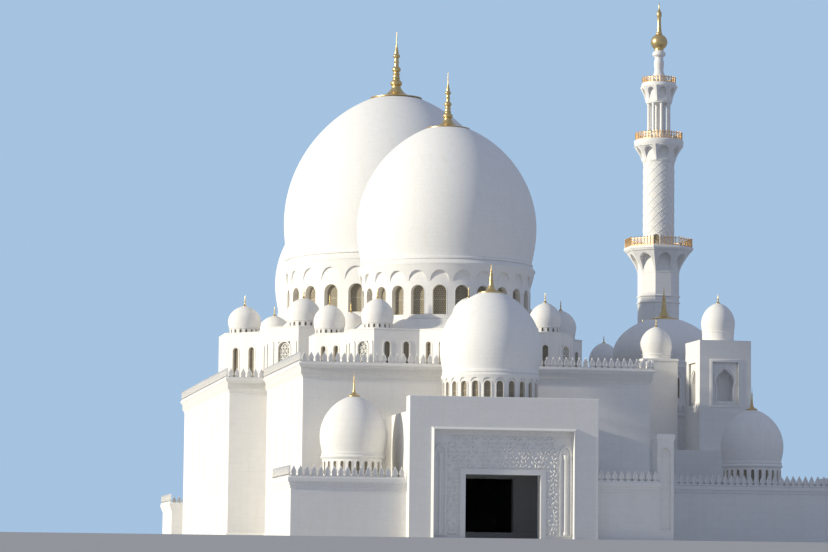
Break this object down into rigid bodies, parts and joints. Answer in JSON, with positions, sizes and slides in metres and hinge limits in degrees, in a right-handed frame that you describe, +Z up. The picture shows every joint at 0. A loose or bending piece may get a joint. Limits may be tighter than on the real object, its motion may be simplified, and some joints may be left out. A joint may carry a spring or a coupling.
{
  "type": "mosque building (1:10 scale model)",
  "caption": "White marble mosque with bulb domes on windowed drums, domed end porches, courtyard arcades and a tall minaret, as a 1:10 scale model.",
  "frame": {"origin": "on the ground under the axis of the middle dome, on the underside of the hall floor", "axes": "+Z up, +Y along the row of three big domes away from the near porch, +X towards the courtyard side with the minaret"},
  "size_m": [10.097, 18.72, 10.69],
  "materials": {
    "marble": "honed white marble panels",
    "dome_marble": "small white marble tiles",
    "roof_plaster": "pale roof paving",
    "paving": "polished floor slabs",
    "gold": "gilded metal",
    "grille": "pierced window lattice",
    "reveal": "cream stone",
    "gilded_railing": "gilded lattice"
  },
  "bodies": {
    "root": {"hall_floor": "paving", "hall_roof": "roof_plaster", "hall_cornice": "marble", "wall_south_wing": "marble", "wall_north_wing": "marble", "wall_centre_west": "marble", "wall_centre_east": "marble", "clerestory_south": "marble", "clerestory_centre": "marble", "clerestory_north": "marble", "roof_south": "marble", "roof_centre": "marble", "roof_north": "marble", "drum_south_north_third": "marble", "drum_south_west_third": "marble", "drum_south_south_third": "marble", "drum_centre_north_third": "marble", "drum_centre_west_third": "marble", "drum_centre_south_third": "marble", "drum_north_north_third": "marble", "drum_north_west_third": "marble", "drum_north_south_third": "marble", "dome_south": "dome_marble", "dome_centre": "dome_marble", "dome_north": "dome_marble", "finial_south": "gold", "finial_centre": "gold", "finial_north": "gold", "porch_south": "marble", "porch_north": "marble", "portal_south": "marble", "portal_north": "marble", "porch_drum_south": "marble", "porch_drum_north": "marble", "porch_dome_south": "dome_marble", "porch_dome_north": "dome_marble", "porch_finial_south": "gold", "porch_finial_north": "gold", "annex_west_south": "marble", "annex_west_north": "marble", "annex_east_south": "marble", "annex_east_north": "marble", "east_porch": "marble", "east_drum": "marble", "east_dome": "dome_marble", "east_finial": "gold", "turret_south": "marble", "turret_north": "marble", "corner_pier_south": "marble", "corner_pier_north": "marble", "arcade_south": "marble", "arcade_north": "marble", "minaret_base": "marble", "minaret_octagon_shaft": "marble", "minaret_lower_balcony": "marble", "minaret_round_shaft": "marble", "minaret_upper_balcony": "marble", "minaret_lantern": "marble", "minaret_crown": "marble", "minaret_finial": "gold"}
  },
  "joints": []
}
